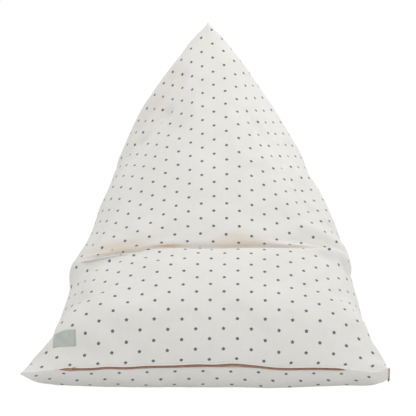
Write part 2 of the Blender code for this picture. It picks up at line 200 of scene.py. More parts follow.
# The upper half of the cloth lies at its own length and the underside takes the rest,
# except near both seams, where the whole cloth is spread evenly
def layCloth(line, along, count):
    lengths = np.concatenate([[0], np.cumsum(np.linalg.norm(np.diff(line, axis=0), axis=1))])
    even = np.linspace(0, lengths[-1], count + 1)
    upper = np.linspace(0, halfRound / 2, count // 2 + 1)
    under = np.linspace(halfRound / 2, lengths[-1], count // 2 + 1)
    own = np.concatenate([upper, under[1:]])
    keep = smoothStep(min(along, tubeLength - along) / coverSettings["layReach"])
    marks = even + (own - even) * keep
    return np.stack([np.interp(marks, lengths, line[:, k]) for k in range(3)], axis=1)


# One section as a closed loop from the underside centre up the left side and down the right
def sectionLoop(along):
    s = coverSettings
    right, left = [layCloth(halfSection(along, side), along, s["loopSteps"] // 2) for side in (1, -1)]
    loop = np.concatenate([left[::-1], right[1:-1]])
    ease = min(1, along / s["easeFront"], (tubeLength - along) / s["easeTop"])
    window = range(-s["easeSteps"], s["easeSteps"] + 1)
    average = sum(np.roll(loop, step, axis=0) for step in window) / len(window)
    return loop + (average - loop) * ease


# The cloth at whole grid columns of one section
def sectionAt(along, arounds):
    loop = sectionLoop(max(along, 0.0))
    place = (np.asarray(arounds) / halfRound + 1) / 2 * len(loop)
    low = np.floor(place).astype(int)
    part = (place - low)[:, None]
    return loop[low % len(loop)] * (1 - part) + loop[(low + 1) % len(loop)] * part


# Half the height of the zip's opening at one place across, lens shaped at both ends
def lipOpening(across):
    left = smoothStep((across - zipOpening["left"]) / zipOpening["taper"])
    right = smoothStep((zipOpening["right"] - across) / zipOpening["taper"])
    return coverSettings["lipOpen"] * np.minimum(left, right)


def foldRise(arounds, along):
    total = np.zeros(len(arounds))
    for startAround, startAlong, endAround, endAlong, width, rise in foldRows:
        runX, runY = endAround - startAround, endAlong - startAlong
        share = ((arounds - startAround) * runX + (along - startAlong) * runY) / (runX ** 2 + runY ** 2)
        share = np.clip(share, 0, 1)
        away = np.hypot(arounds - startAround - share * runX, along - startAlong - share * runY) / width
        total += rise * np.exp(-away ** 2)
    return total


# All grid points of the cover, row by row, with the folds pressed in and the front seam opened
def coverPoints(arounds, rows):
    s = coverSettings
    points = np.array([sectionAt(along, arounds) for along in rows])
    runRound = np.roll(points, -1, axis=1) - np.roll(points, 1, axis=1)
    runRound[:, 0] = runRound[:, -1] = points[:, 1] - points[:, -2]
    runAlong = np.gradient(points, axis=0)
    normals = np.cross(runRound, runAlong)
    normals /= np.maximum(np.linalg.norm(normals, axis=2, keepdims=True), 1e-9)
    for r, along in enumerate(rows):
        if 0 < along < tubeLength:
            points[r] += normals[r] * foldRise(arounds, along)[:, None]

    upper = np.where(np.abs(arounds) < halfRound / 2, 1.0, -1.0)
    upper[np.isclose(np.abs(arounds), halfRound / 2)] = 0.0
    fromCorner = np.abs(np.abs(arounds) - halfRound / 2)
    onRight = arounds > 0
    blunt = np.where(onRight, s["bluntRight"], s["bluntLeft"])
    ends = np.where(onRight, sideRows[0][1], -sideRows[0][2])
    pull = np.where(onRight, s["pullRight"], s["pullLeft"])
    pull = pull * (1 - smoothStep((fromCorner - s["pullStart"]) / s["pullStretch"]))
    rounded = 1 - np.exp(-fromCorner / s["bulgeRound"])
    for r, along in enumerate(rows):
        inside = max(along, 0)
        fade = 1 - smoothStep(inside / s["pullReach"])
        points[r, :, 0] += (ends - points[r, :, 0]) * pull * fade * (fromCorner > 0)
        fade = 1 - smoothStep(inside / s["bluntReach"])
        inward = np.abs(ends - points[r, :, 0])
        if along >= 0:
            atEnd = 1 - smoothStep(inward / s["endReach"])
            parted = np.maximum(atEnd, smoothStep(along / s["bulgeAlong"]))
            bulge = (1 - smoothStep(inward / s["bluntStretch"])) * rounded * fade
            points[r, :, 2] += blunt * bulge * parted * upper
            points[r, :, 2] = np.maximum(points[r, :, 2], 0)
        lips = lipOpening(points[r, :, 0]) * upper
        inZip = smoothStep(np.abs(lips) / 0.5)
        if along > s["pocketAlong"]:
            points[r, :, 2] += lips * (1 - smoothStep(inside / s["lipReach"]))
        if along < 0:
            points[r, :, 1] += inZip * s["lipDeep" if along > s["pocketAlong"] else "pocketDeep"]
    return points


def toMesh(name, bm):
    mesh = bpy.data.meshes.new(name)
    bm.to_mesh(mesh)
    bm.free()
    return mesh


def addMesh(bm, mesh):
    bm.from_mesh(mesh)
    bpy.data.meshes.remove(mesh)


def addObject(name, data):
    piece = bpy.data.objects.new(name, data)
    scene.collection.objects.link(piece)
    return piece


# The mesh of a piece with its modifiers worked in; the piece itself goes
def takeMesh(piece):
    made = piece.evaluated_get(bpy.context.evaluated_depsgraph_get())
    mesh = bpy.data.meshes.new_from_object(made)
    bpy.data.objects.remove(piece)
    return mesh


def faceOut(bm):
    bmesh.ops.recalc_face_normals(bm, faces=bm.faces)
    if bm.calc_volume(signed=True) < 0:
        bmesh.ops.reverse_faces(bm, faces=bm.faces)


def thicken(bm, thickness):
    bmesh.ops.recalc_face_normals(bm, faces=bm.faces)
    bmesh.ops.solidify(bm, geom=bm.faces, thickness=thickness * mm)
    faceOut(bm)


# A grid for a sheet, from -0.5 to 0.5 both ways, with the sheet's flat size in a UV map
def sheetGrid(mapName, columns, rows, size, corner=(0, 0)):
    bm = bmesh.new()
    bmesh.ops.create_grid(bm, x_segments=columns, y_segments=rows, size=0.5)
    sheetMap = bm.loops.layers.uv.new(mapName)
    for face in bm.faces:
        for loop in face.loops:
            across = corner[0] + (loop.vert.co.x + 0.5) * size[0]
            up = corner[1] + (loop.vert.co.y + 0.5) * size[1]
            loop[sheetMap].uv = (across * mm, up * mm)
    return bm


def newPiece(name, bm, material):
    mesh = toMesh(name, bm)
    mesh.shade_smooth()
    mesh.materials.append(material)
    piece = addObject(name, mesh)
    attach(piece, "root")
    return piece


# The print runs a little askew to the tube: along, drift
driftRows = [
    (0, -1.9), (100, -0.7), (200, 1.4), (300, 3.5),
    (400, 7.5), (600, 9.3), (800, 8.6), (tubeLength, 5.0),
]
printDrift = smoothCurve(driftRows, 1)

# The underside's print starts at its centre line and is spread a little
undersidePrint = {"shift": 14.2, "left": 0.01, "right": -0.026, "up": 0.05, "upReach": 60}

# Small shifts of the print: around, along, reach around, reach along, shift around, shift along
printShiftRows = [
    (70, 735, 42, 160, 2, -12),
    (-60, 790, 50, 190, 5, 12),
    (235, 600, 60, 130, -14, 21),
    (175, 760, 45, 110, -6, 8),
    (-165, 850, 60, 50, 9, 15),
    (-95, 900, 40, 50, 4, 6),
    (130, 394, 100, 26, -2, 7),
    (190, 418, 110, 40, 0, 6),
    (290, 265, 60, 34, -3, 8),
    (-300, 268, 45, 36, 5, 8),
    (-295, 440, 40, 36, 5, 8),
    (130, 665, 34, 90, 2, -8),
    (-230, 394, 60, 24, 3, 6),
    (-265, 328, 55, 18, 0, 9),
    (235, 325, 95, 34, 0, 13),
    (-275, 57, 26, 16, 3, -5),
    (-260, 20, 160, 30, 4, 2),
    (270, 40, 110, 24, -3, -1),
]

# Painted shade, a warm tan, in the crease and along the left fold: around, along, reach around, reach
# along, strength
paintedShadeRows = [
    (-205, 386, 75, 25, 0.45),
    (-88, 379, 30, 4, 1.0),
    (60, 378, 150, 3, 0.4),
    (190, 376, 50, 4, 0.4),
    (265, 407, 45, 4, 0.35),
    (70, 391, 55, 20, 0.38),
    (-85, 905, 28, 34, 0.13),
    (-138, 855, 34, 30, 0.17),
    (-195, 825, 34, 26, 0.15),
]

# How the cloth puckers beside the seams, rolls at the zip's lips and dents in between
seamSettings = {
    "groove": 1.3, "grooveWide": 4.0,
    "pucker": 1.5, "puckerLong": 17.0, "puckerDrift": 90, "puckerReach": 22.0, "puckerStart": 7,
    "sideShare": 0.8, "lipRoll": 0.9, "rollAlong": 2.2, "rollWide": 1.8,
    "stitchAlong": 5.6, "stitchSink": 0.45, "stitchWide": 0.9,
    "dent": 1.3, "dentWide": 70.0, "dentStart": 40, "floorBelow": 1.5,
}
settleSettings = {
    "frames": 10, "spareCloth": 0.02, "cap": 3.5, "broad": 6,
    "floorBelow": 2.5, "pinnedAlong": 9.5, "easeAlong": 45.0, "easeTop": 170.0,
    "creaseAlong": 352.0, "creaseReach": 30.0, "creaseHeld": 0.85,
}
clothValues = {  # by Blender's own names
    "quality": 6, "mass": 0.3, "air_damping": 2.0, "tension_stiffness": 20, "compression_stiffness": 12,
    "shear_stiffness": 6, "bending_stiffness": 0.8, "tension_damping": 10, "compression_damping": 10,
    "use_pressure": True, "uniform_pressure_force": 0.6,
}


def softPatch(rows, arounds, alongs, column=4):
    total = np.zeros(len(arounds))
    for row in rows:
        away = ((arounds - row[0]) / row[2]) ** 2 + ((alongs - row[1]) / row[3]) ** 2
        total += row[column] * np.exp(-away)
    return total


def readPoints(mesh):
    values = np.zeros(len(mesh.vertices) * 3)
    mesh.vertices.foreach_get("co", values)
    return values.reshape(-1, 3)


def writeValues(mesh, name, values):
    mesh.attributes.new(name, "FLOAT", "POINT").data.foreach_set("value", values.astype(np.float32))


def readValues(mesh, name):
    values = np.zeros(len(mesh.vertices), np.float32)
    mesh.attributes[name].data.foreach_get("value", values)
    return values


# A grid of cloth with its points at places[row, column], and each point's row and column
def clothGrid(name, places):
    rowCount, columnCount = places.shape[:2]
    bm = bmesh.new()
    bmesh.ops.create_grid(bm, x_segments=columnCount - 1, y_segments=rowCount - 1, size=0.5)
    mesh = toMesh(name, bm)
    grid = readPoints(mesh)
    column = np.round((grid[:, 0] + 0.5) * (columnCount - 1)).astype(int)
    row = np.round((grid[:, 1] + 0.5) * (rowCount - 1)).astype(int)
    mesh.vertices.foreach_set("co", places[row, column].ravel())
    return addObject(name, mesh), row, column


# The mean over a square of rows and columns; the columns go round the tube
def boxBlur(field, reach):
    steps = range(-reach, reach + 1)
    across = sum(np.roll(field[:, :-1], step, axis=1) for step in steps) / len(steps)
    across = np.concatenate([across, across[:, :1]], axis=1)
    rows = np.arange(len(field))
    return sum(across[np.clip(rows + step, 0, len(field) - 1)] for step in steps) / len(steps)


# The filled cloth settles with a little spare cloth, which wrinkles between its seams. The broad
# part of the motion comes off again, so that the outline stays, and no point moves past the cap.
def settleCloth(places, aroundAt, alongAt):
    s = settleSettings
    piece, row, column = clothGrid("settling", places)
    arounds, alongs = aroundAt[column], alongAt[row]
    start = readPoints(piece.data)
    onFloor = (start[:, 2] < s["floorBelow"] * mm) & (np.abs(arounds) > halfRound / 2)
    held = (alongs <= s["pinnedAlong"]) | (alongs >= tubeLength - 1) | onFloor
    pins = piece.vertex_groups.new(name="pins")
    pins.add([int(n) for n in np.nonzero(held)[0]], 1.0, "REPLACE")
    cloth = piece.modifiers.new("settle", "CLOTH")
    settings = cloth.settings
    settings.vertex_group_mass = "pins"
    settings.shrink_min = -s["spareCloth"]
    for name, value in clothValues.items():
        setattr(settings, name, value)
    settings.effector_weights.gravity = 0
    cloth.collision_settings.use_collision = False
    cloth.collision_settings.use_self_collision = False
    for step in range(1, s["frames"] + 1):
        scene.frame_set(step)
    moved = readPoints(piece.evaluated_get(bpy.context.evaluated_depsgraph_get()).data) - start
    bpy.data.objects.remove(piece)
    scene.frame_set(1)

    field = np.zeros(places.shape)
    field[row, column] = moved
    moved = (field - boxBlur(field, s["broad"]))[row, column]
    ease = s["easeAlong"]
    free = smoothStep((alongs - s["pinnedAlong"]) / ease)
    free *= smoothStep((tubeLength - alongs) / s["easeTop"])
    crease = ((alongs - s["creaseAlong"]) / s["creaseReach"]) ** 2
    free *= smoothStep((halfRound - np.abs(arounds)) / (2 * ease))
    free *= 1 - s["creaseHeld"] * np.exp(-crease) * (np.abs(arounds) < halfRound / 2)
    length = np.linalg.norm(moved, axis=1)
    cap = s["cap"] * mm
    moved *= (free * cap / np.sqrt(cap ** 2 + length ** 2))[:, None]
    settled = start + moved
    settled[:, 2] = np.maximum(settled[:, 2], 0)
    places[row, column] = settled
    print("cloth settled, furthest move", round(float(np.linalg.norm(moved, axis=1).max() / mm), 1), "mm")


# Seam grooves and puckers, the rolled lips of the zip, its sunk stitch lines and soft dents
def coverDetail(points, arounds, alongs):
    s = seamSettings
    rise = np.zeros(len(points))
    acrossFront = points[:, 0] / mm - cadShift[0]
    inZip = lipOpening(acrossFront) / coverSettings["lipOpen"]
    fromTop = tubeLength - alongs
    fromSide = np.abs(np.abs(arounds) - halfRound / 2)
    for n in range(len(points)):
        around, along = arounds[n], alongs[n]
        if along < 0:
            continue
        seams = (
            (3.1, along, around, 1.0),
            (7.7, fromSide[n], along, s["sideShare"]),
            (12.3, fromTop[n], around, s["sideShare"]),
        )
        for seed, away, place, share in seams:
            if away < 4 * s["puckerReach"]:
                side = math.copysign(seed, around)
                spot = Vector((place / s["puckerLong"], side, away / s["puckerDrift"]))
                start = min(away / s["puckerStart"], 1) ** 2
                fade = math.exp(-away / s["puckerReach"])
                rise[n] += share * s["pucker"] * noise.noise(spot) * fade * start
        spot = Vector((around, along, 40.0)) / s["dentWide"]
        quiet = min(1, along / s["dentStart"], fromTop[n] / s["dentStart"])
        rise[n] += s["dent"] * noise.noise(spot) * quiet
    rise -= s["groove"] * np.exp(-(fromSide / s["grooveWide"]) ** 2)
    fromRoll = (alongs - s["rollAlong"]) / s["rollWide"]
    rise += inZip * s["lipRoll"] * np.exp(-fromRoll ** 2)
    fromStitch = (alongs - s["stitchAlong"]) / s["stitchWide"]
    rise -= inZip * s["stitchSink"] * np.exp(-fromStitch ** 2)
    rise[(alongs <= 0) | (alongs >= tubeLength)] = 0
    onFloor = (points[:, 2] < s["floorBelow"] * mm) & (np.abs(arounds) > halfRound / 2)
    rise[onFloor] = 0
    return rise


# Two UV maps: place is the cloth itself, print has the drift and shifts of the stars in it
def addPrintMaps(bm, around, along):
    drift = printDrift(along) + softPatch(printShiftRows, around, along)
    shift = softPatch(printShiftRows, around, along, 5)
    spread = 1 + np.where(around > 0, undersidePrint["right"], undersidePrint["left"])
    spread += undersidePrint["up"] * smoothStep(along / undersidePrint["upReach"])
    printMap = bm.loops.layers.uv.new("print")
    placeMap = bm.loops.layers.uv.new("place")
    bm.verts.ensure_lookup_table()
    for face in bm.faces:
        middle = sum(around[vert.index] for vert in face.verts) / len(face.verts)
        for loop in face.loops:
            n = loop.vert.index
            loop[placeMap].uv = (around[n] * mm, along[n] * mm)
            if abs(middle) < halfRound / 2:
                loop[printMap].uv = ((around[n] - drift[n]) * mm, (along[n] + shift[n]) * mm)
            else:
                fromMiddle = (math.copysign(halfRound, middle) - around[n]) * spread[n]
                loop[printMap].uv = ((fromMiddle + undersidePrint["shift"]) * mm, along[n] * mm)


def makeCover(material):
    runs = coverSettings["rowRuns"]
    rows = [start + (end - start) * (k + 1) / count for start, end, count in runs for k in range(count)]
    rows = np.array([runs[0][0]] + rows, float)
    arounds = np.linspace(-halfRound, halfRound, coverSettings["columns"] + 1)
    places = (coverPoints(arounds, rows) + cadShift) * mm
    outside = rows >= 0
    settled = places[outside]
    settleCloth(settled, arounds, rows[outside])
    places[outside] = settled

    cloth, row, column = clothGrid("cloth", places)
    writeValues(cloth.data, "around", arounds[column])
    writeValues(cloth.data, "along", rows[row])
    finer = cloth.modifiers.new("finer", "SUBSURF")
    finer.levels = finer.render_levels = 1
    fine = takeMesh(cloth)
    points = readPoints(fine)
    around = readValues(fine, "around")
    along = readValues(fine, "along")
    normals = np.zeros(len(points) * 3)
    fine.vertex_normals.foreach_get("vector", normals)
    points += normals.reshape(-1, 3) * (coverDetail(points, around, along) * mm)[:, None]
    points[:, 2] = np.maximum(points[:, 2], 0)
    fine.vertices.foreach_set("co", points.ravel())
    # The painted shade of the crease and the left fold, kept to the upper half of the cloth
    writeValues(fine, "paintedShade", softPatch(paintedShadeRows, around, along) * (np.abs(around) < halfRound / 2))

    bm = bmesh.new()
    addMesh(bm, fine)
    addPrintMaps(bm, around, along)
    bmesh.ops.remove_doubles(bm, verts=bm.verts, dist=0.02 * mm)
    faceOut(bm)
    cover = newPiece("cloth_cover", bm, material)
    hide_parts("cover")
    return cover


def newNode(tree, kind):
    return tree.nodes.new("ShaderNode" + kind)


def setInputs(node, values):
    for name, value in values.items():
        node.inputs[name].default_value = value


# A value is a number or another node's socket
def feed(tree, socket, value):
    if isinstance(value, bpy.types.NodeSocket):
        tree.links.new(value, socket)
    else:
        socket.default_value = value


def calc(tree, operation, *values, clamp=False):
    node = newNode(tree, "Math")
    node.operation = operation
    node.use_clamp = clamp
    for socket, value in zip(node.inputs, values):
        feed(tree, socket, value)
    return node.outputs[0]


def ramp(tree, value, fromLow, fromHigh, toLow=0.0, toHigh=1.0):
    node = newNode(tree, "MapRange")
    node.interpolation_type = "SMOOTHSTEP"
    numbers = {"Value": value, "From Min": fromLow, "From Max": fromHigh, "To Min": toLow, "To Max": toHigh}
    for name, number in numbers.items():
        feed(tree, node.inputs[name], number)
    return node.outputs["Result"]


def blendColour(tree, share, first, second):
    node = newNode(tree, "Mix")
    node.data_type = "RGBA"
    feed(tree, node.inputs["Factor"], share)
    for socket, value in ((node.inputs[6], first), (node.inputs[7], second)):
        feed(tree, socket, (*value, 1) if isinstance(value, tuple) else value)
    return node.outputs[2]


def stretched(tree, vector, scale):
    node = newNode(tree, "Mapping")
    feed(tree, node.inputs["Vector"], vector)
    node.inputs["Scale"].default_value = scale
    return node.outputs["Vector"]


def grainy(tree, vector, scale, detail=2.0):
    node = newNode(tree, "TexNoise")
    feed(tree, node.inputs["Vector"], vector)
    setInputs(node, {"Scale": scale, "Detail": detail})
    return node.outputs["Fac"]


def uvPlace(tree, name):
    node = newNode(tree, "UVMap")
    node.uv_map = name
    return node.outputs["UV"]


def splitPlace(tree, place):
    node = newNode(tree, "SeparateXYZ")
    feed(tree, node.inputs[0], place)
    return node.outputs["X"], node.outputs["Y"]


def newGroup(name, inputs, outputs):
    group = bpy.data.node_groups.new(name, "ShaderNodeTree")
    for label, value in inputs.items():
        kind = "NodeSocketVector" if value is None else "NodeSocketFloat"
        socket = group.interface.new_socket(label, in_out="INPUT", socket_type=kind)
        if value is not None:
            socket.default_value = value
    for label in outputs:
        group.interface.new_socket(label, in_out="OUTPUT", socket_type="NodeSocketFloat")
    return group, group.nodes.new("NodeGroupInput").outputs, group.nodes.new("NodeGroupOutput").inputs


def placeGroup(tree, group, **values):
    node = newNode(tree, "Group")
    node.node_tree = group
    for label, value in values.items():
        feed(tree, node.inputs[label], value)
    return node.outputs


# Plain weave: threads over and under each other, a little uneven, with thicker slubs both ways
def weaveGroup():
    inputs = {"Place": None, "Pitch": 0.0006, "Slub": 0.5}
    group, given, out = newGroup("weave", inputs, ["Height", "Slubs"])
    work = partial(calc, group)
    wobble = grainy(group, given["Place"], 160.0)
    across, up = splitPlace(group, given["Place"])
    turns = work("DIVIDE", math.pi, given["Pitch"])
    waver = work("MULTIPLY", wobble, 2.5)
    x, y = [work("MULTIPLY_ADD", part, turns, waver) for part in (across, up)]
    warp, weft = [work("ABSOLUTE", work("SINE", part)) for part in (x, y)]
    over = work("MULTIPLY", work("COSINE", x), work("COSINE", y))
    over = ramp(group, over, -0.35, 0.35)
    under = work("SUBTRACT", 1.0, over)
    cloth = work("ADD", work("MULTIPLY", warp, over), work("MULTIPLY", weft, under))
    ways = [stretched(group, given["Place"], way) for way in ((900, 22, 1), (22, 900, 1))]
    slubs = ramp(group, work("ADD", *[grainy(group, way, 1.0) for way in ways]), 0.7, 1.3)
    feed(group, out["Slubs"], slubs)
    feed(group, out["Height"], work("MULTIPLY_ADD", slubs, given["Slub"], cloth))
    return group


# Five pointed stars, in rows set half a step apart. u and v count half steps from the first star,
# p and q name the nearest star, dx and dy are the way from it in millimetres.
starSettings = {
    "stepAround": 28.0, "stepAlong": 21.0, "startAround": -23.8, "startAlong": 34.02,
    "tip": 4.1, "hollow": 2.9, "soft": 0.8, "ragged": 0.7,
    "colour": (0.095, 0.108, 0.135),
}


def starGroup():
    star = starSettings
    group, given, out = newGroup("stars", {"Place": None}, ["Mask"])
    work = partial(calc, group)
    across, up = splitPlace(group, given["Place"])
    u = work("DIVIDE", work("SUBTRACT", across, star["startAround"] * mm), star["stepAround"] * mm)
    v = work("DIVIDE", work("SUBTRACT", up, star["startAlong"] * mm), star["stepAlong"] * mm)
    p = work("ROUND", work("MULTIPLY", work("ADD", u, v), 0.5))
    q = work("ROUND", work("MULTIPLY", work("SUBTRACT", u, v), 0.5))
    dx = work("MULTIPLY", work("SUBTRACT", u, work("ADD", p, q)), star["stepAround"])
    dy = work("MULTIPLY", work("SUBTRACT", v, work("SUBTRACT", p, q)), star["stepAlong"])
    away = work("SQRT", work("ADD", work("MULTIPLY", dx, dx), work("MULTIPLY", dy, dy)))
    tipAngle = math.pi / 5
    turn = work("PINGPONG", work("ARCTAN2", dx, dy), tipAngle)
    towardTip = work("MULTIPLY", work("SINE", work("SUBTRACT", tipAngle, turn)), star["hollow"])
    below = work("ADD", towardTip, work("MULTIPLY", work("SINE", turn), star["tip"]))
    edge = work("DIVIDE", star["tip"] * star["hollow"] * math.sin(tipAngle), below)
    rough = work("MULTIPLY_ADD", grainy(group, given["Place"], 1400.0), star["ragged"], -star["ragged"] / 2)
    inside = work("ADD", work("SUBTRACT", edge, away), rough)
    feed(group, out["Mask"], ramp(group, inside, -star["soft"], star["soft"]))
    return group


# The last colour is the darker warm tan of the shade painted into the crease and along the left fold
clothSettings = {
    "colour": (0.79, 0.775, 0.745), "thread": (0.70, 0.685, 0.65), "paintedShade": (0.62, 0.43, 0.28),
    "pitch": 0.0006, "slub": 0.6, "bump": 0.00012,
}

# Colours of the small pieces, each from dark to light
colourPairs = {
    "tape": ((0.33, 0.185, 0.12), (0.47, 0.275, 0.18)),
    "coil": ((0.34, 0.185, 0.125), (0.49, 0.29, 0.20)),
    "metal": ((0.40, 0.20, 0.13), (0.55, 0.32, 0.22)),
    "thread": ((0.66, 0.60, 0.52), (0.80, 0.76, 0.70)),
    "label": ((0.42, 0.465, 0.42), (0.52, 0.565, 0.52)),
    "border": ((0.38, 0.42, 0.375), (0.45, 0.49, 0.445)),
    "tab": ((0.42, 0.26, 0.14), (0.58, 0.40, 0.225)),
}
tabEdgeColour = (0.26, 0.10, 0.05)
weave = weaveGroup()
stars = starGroup()
print("shader groups made")


def startMaterial(name, roughness, sheen=0.0):
    material = bpy.data.materials.new(name)
    material.use_nodes = True
    shader = material.node_tree.nodes["Principled BSDF"]
    setInputs(shader, {"Roughness": roughness, "Sheen Weight": sheen})
    setInputs(shader, {"Sheen Roughness": 0.5, "Specular IOR Level": 0.3})
    return material, material.node_tree, shader


def paint(tree, shader, colour):
    tree.links.new(colour, shader.inputs["Base Color"])


def addBump(tree, shader, height, distance):
    bump = newNode(tree, "Bump")
    bump.inputs["Distance"].default_value = distance
    feed(tree, bump.inputs["Height"], height)
    tree.links.new(bump.outputs["Normal"], shader.inputs["Normal"])


def cottonMaterial():
    material, tree, shader = startMaterial("printed cotton", 0.92, 0.15)
    place = uvPlace(tree, "place")
    cloth = placeGroup(tree, weave, Place=place, Pitch=clothSettings["pitch"], Slub=clothSettings["slub"])
    tone = ramp(tree, grainy(tree, place, 9.0, 3.0), 0.3, 0.7, 0.0, 0.35)
    tone = calc(tree, "MULTIPLY_ADD", cloth["Slubs"], 0.35, tone)
    colour = blendColour(tree, tone, clothSettings["colour"], clothSettings["thread"])
    # Painted shade: the crease and the left fold are tinted toward a darker warm tan
    node = newNode(tree, "Attribute")
    node.attribute_name = "paintedShade"
    paintedShade = calc(tree, "MULTIPLY", node.outputs["Fac"], 1.0, clamp=True)
    colour = blendColour(tree, paintedShade, colour, clothSettings["paintedShade"])
    mask = placeGroup(tree, stars, Place=uvPlace(tree, "print"))["Mask"]
    ink = ramp(tree, cloth["Height"], 0.2, 1.2, 0.82, 1.0)
    mask = calc(tree, "MULTIPLY", mask, ink)
    colour = blendColour(tree, mask, colour, starSettings["colour"])
    paint(tree, shader, colour)
    addBump(tree, shader, cloth["Height"], clothSettings["bump"])
    return material


# Woven tape or label with darker threads and its own weave; pair names its colours and UV map
def wovenMaterial(name, pair, pitch, roughness, bump):
    material, tree, shader = startMaterial(name, roughness, 0.1)
    place = uvPlace(tree, pair)
    cloth = placeGroup(tree, weave, Place=place, Pitch=pitch, Slub=0.3)
    threads = calc(tree, "MULTIPLY", ramp(tree, cloth["Height"], 0.2, 1.3), 0.6)
    tone = calc(tree, "MULTIPLY_ADD", ramp(tree, grainy(tree, place, 70.0), 0.35, 0.65), 0.4, threads)
    ground = blendColour(tree, tone, *colourPairs[pair])
    paint(tree, shader, ground)
    addBump(tree, shader, cloth["Height"], bump)
    return material, tree, shader, ground


# Metal, coil and thread: a fine grain between two colours, with its own or a finer bump
def grainMaterial(name, pair, roughness, sheen, grain, bump, detail=2.0, low=0.3, bumpGrain=0, gloss={}):
    material, tree, shader = startMaterial(name, roughness, sheen)
    place = newNode(tree, "TexCoord").outputs["Object"]
    tone = ramp(tree, grainy(tree, place, grain, detail), low, 0.7)
    paint(tree, shader, blendColour(tree, tone, *colourPairs[pair]))
    addBump(tree, shader, grainy(tree, place, bumpGrain) if bumpGrain else tone, bump)
    setInputs(shader, gloss)
    return material


# The label: ribbed ground with a darker, closely ribbed border at its right end
def labelMaterial():
    material, tree, shader, ground = wovenMaterial("grey green label", "label", 0.0008, 0.8, 0.00012)
    across = splitPlace(tree, uvPlace(tree, "label"))[0]
    wide = labelSettings["size"][0] * mm
    border = ramp(tree, across, wide - 0.0044, wide - 0.0036)
    rib = calc(tree, "ABSOLUTE", calc(tree, "SINE", calc(tree, "MULTIPLY", across, math.pi / 0.0011)))
    dark = blendColour(tree, rib, *colourPairs["border"])
    paint(tree, shader, blendColour(tree, border, ground, dark))
    return material


# The tab: tan tape, browner towards its lower edge and in soft patches
def tabMaterial():
    material, tree, shader, ground = wovenMaterial("tan tape", "tab", 0.0009, 0.85, 0.00015)
    place = uvPlace(tree, "tab")
    low = ramp(tree, splitPlace(tree, place)[1], 0.002, 0.009, 1.0, 0.0)
    patch = ramp(tree, grainy(tree, place, 140.0), 0.5, 0.62, 0.0, 0.5)
    share = calc(tree, "MAXIMUM", calc(tree, "MULTIPLY", low, 0.75), patch)
    paint(tree, shader, blendColour(tree, share, ground, tabEdgeColour))
    return material


# The front seam's line, from the tables to the frame and in metres
def seamPoints(across, back=0.0, up=0.0):
    across = np.atleast_1d(np.asarray(across, float))
    start = sideRows[0]
    half = np.where(across > 0, start[1], start[2])
    bow = np.where(across > 0, start[7], start[8])
    y = profileRows[0][1] + bow * (across / half) ** 2 + back
    return (np.stack([across, y, seamHeight(across) + up], axis=1) + cadShift) * mm


def seamLine(across, back=0.0, up=0.0):
    return Vector(seamPoints(across, back, up)[0])


# Copies of a small shape in a straight row along x, with sizes in millimetres
def rowOf(bm, count, pitch):
    piece = addObject("row", toMesh("row", bm))
    copies = piece.modifiers.new("copies", "ARRAY")
    copies.count = count
    copies.use_relative_offset = False
    copies.use_constant_offset = True
    copies.constant_offset_displace = (pitch, 0, 0)
    return takeMesh(piece)


# A thread stitch: a small capsule between two points, added to the mesh of its row
def addStitch(bm, start, end, radius):
    run = end - start
    made = bmesh.ops.create_uvsphere(bm, u_segments=6, v_segments=6, radius=radius)["verts"]
    turn = run.to_track_quat("Z", "Y").to_matrix()
    for vert in made:
        if abs(vert.co.z) > radius * 0.1:
            vert.co.z += math.copysign(run.length / 2 - radius, vert.co.z)
        vert.co = turn @ vert.co + (start + end) / 2


zipSettings = {
    "inset": 0.8, "half": 3.2, "endHalf": 0.3, "back": 2.6, "bow": 0.25, "thick": 0.6, "steps": 188,
    "toothPitch": 1.6, "toothSize": (0.95, 0.55, 0.7), "toothUp": 0.62, "toothOut": 0.75,
    "coilStart": 4, "coilShorter": 10,
}


def makeZip(tapeMaterial, coilMaterial):
    s = zipSettings
    left, right = zipOpening["left"] + s["inset"], zipOpening["right"] - s["inset"]
    tapeSize = (right - left, 2 * s["half"])
    bm = sheetGrid("tape", s["steps"], 6, tapeSize, (left, -s["half"]))
    for vert in bm.verts:
        across = left + (right - left) * (vert.co.x + 0.5)
        share = 2 * vert.co.y
        opened = float(lipOpening(across)) / coverSettings["lipOpen"]
        tall = s["endHalf"] + (s["half"] - s["endHalf"]) * opened
        vert.co = seamLine(across, s["back"] + s["bow"] * share ** 2, share * tall)
    thicken(bm, s["thick"])
    tape = newPiece("zip_tape", bm, tapeMaterial)
    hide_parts("zip")

    pitch = s["toothPitch"]
    bm = bmesh.new()
    for way in (-1, 1):
        tooth = bmesh.ops.create_uvsphere(bm, u_segments=8, v_segments=6, radius=1)["verts"]
        bmesh.ops.scale(bm, verts=tooth, vec=s["toothSize"])
        bmesh.ops.translate(bm, verts=tooth, vec=(0.25 * way * pitch, 0, s["toothUp"] * way))
    row = rowOf(bm, int((right - left - s["coilShorter"]) / pitch), pitch)
    points = readPoints(row)
    across = left + s["coilStart"] + points[:, 0]
    share = lipOpening(across) / coverSettings["lipOpen"]
    places = seamPoints(across, s["back"] - s["toothOut"] + points[:, 1], points[:, 2] * share)
    row.vertices.foreach_set("co", places.ravel())
    bm = bmesh.new()
    addMesh(bm, row)
    newPiece("zip_coil", bm, coilMaterial)


# Rows of stitches on the finished cover and a tack at both ends of the zip
stitchSettings = {
    "pitch": 3.0, "long": 2.2, "radius": 0.32, "away": 4.6, "proud": 0.1,
    "tackTall": 10, "tackOut": 1.5, "tackHalf": 1.1, "tackSlant": 0.2, "tackRadius": 0.3,
}


# Where a ray from the front meets the cover, and the way out there
def fromFront(surface, start):
    return surface.ray_cast(Vector(start), Vector((0, 1, 0)))[:2]


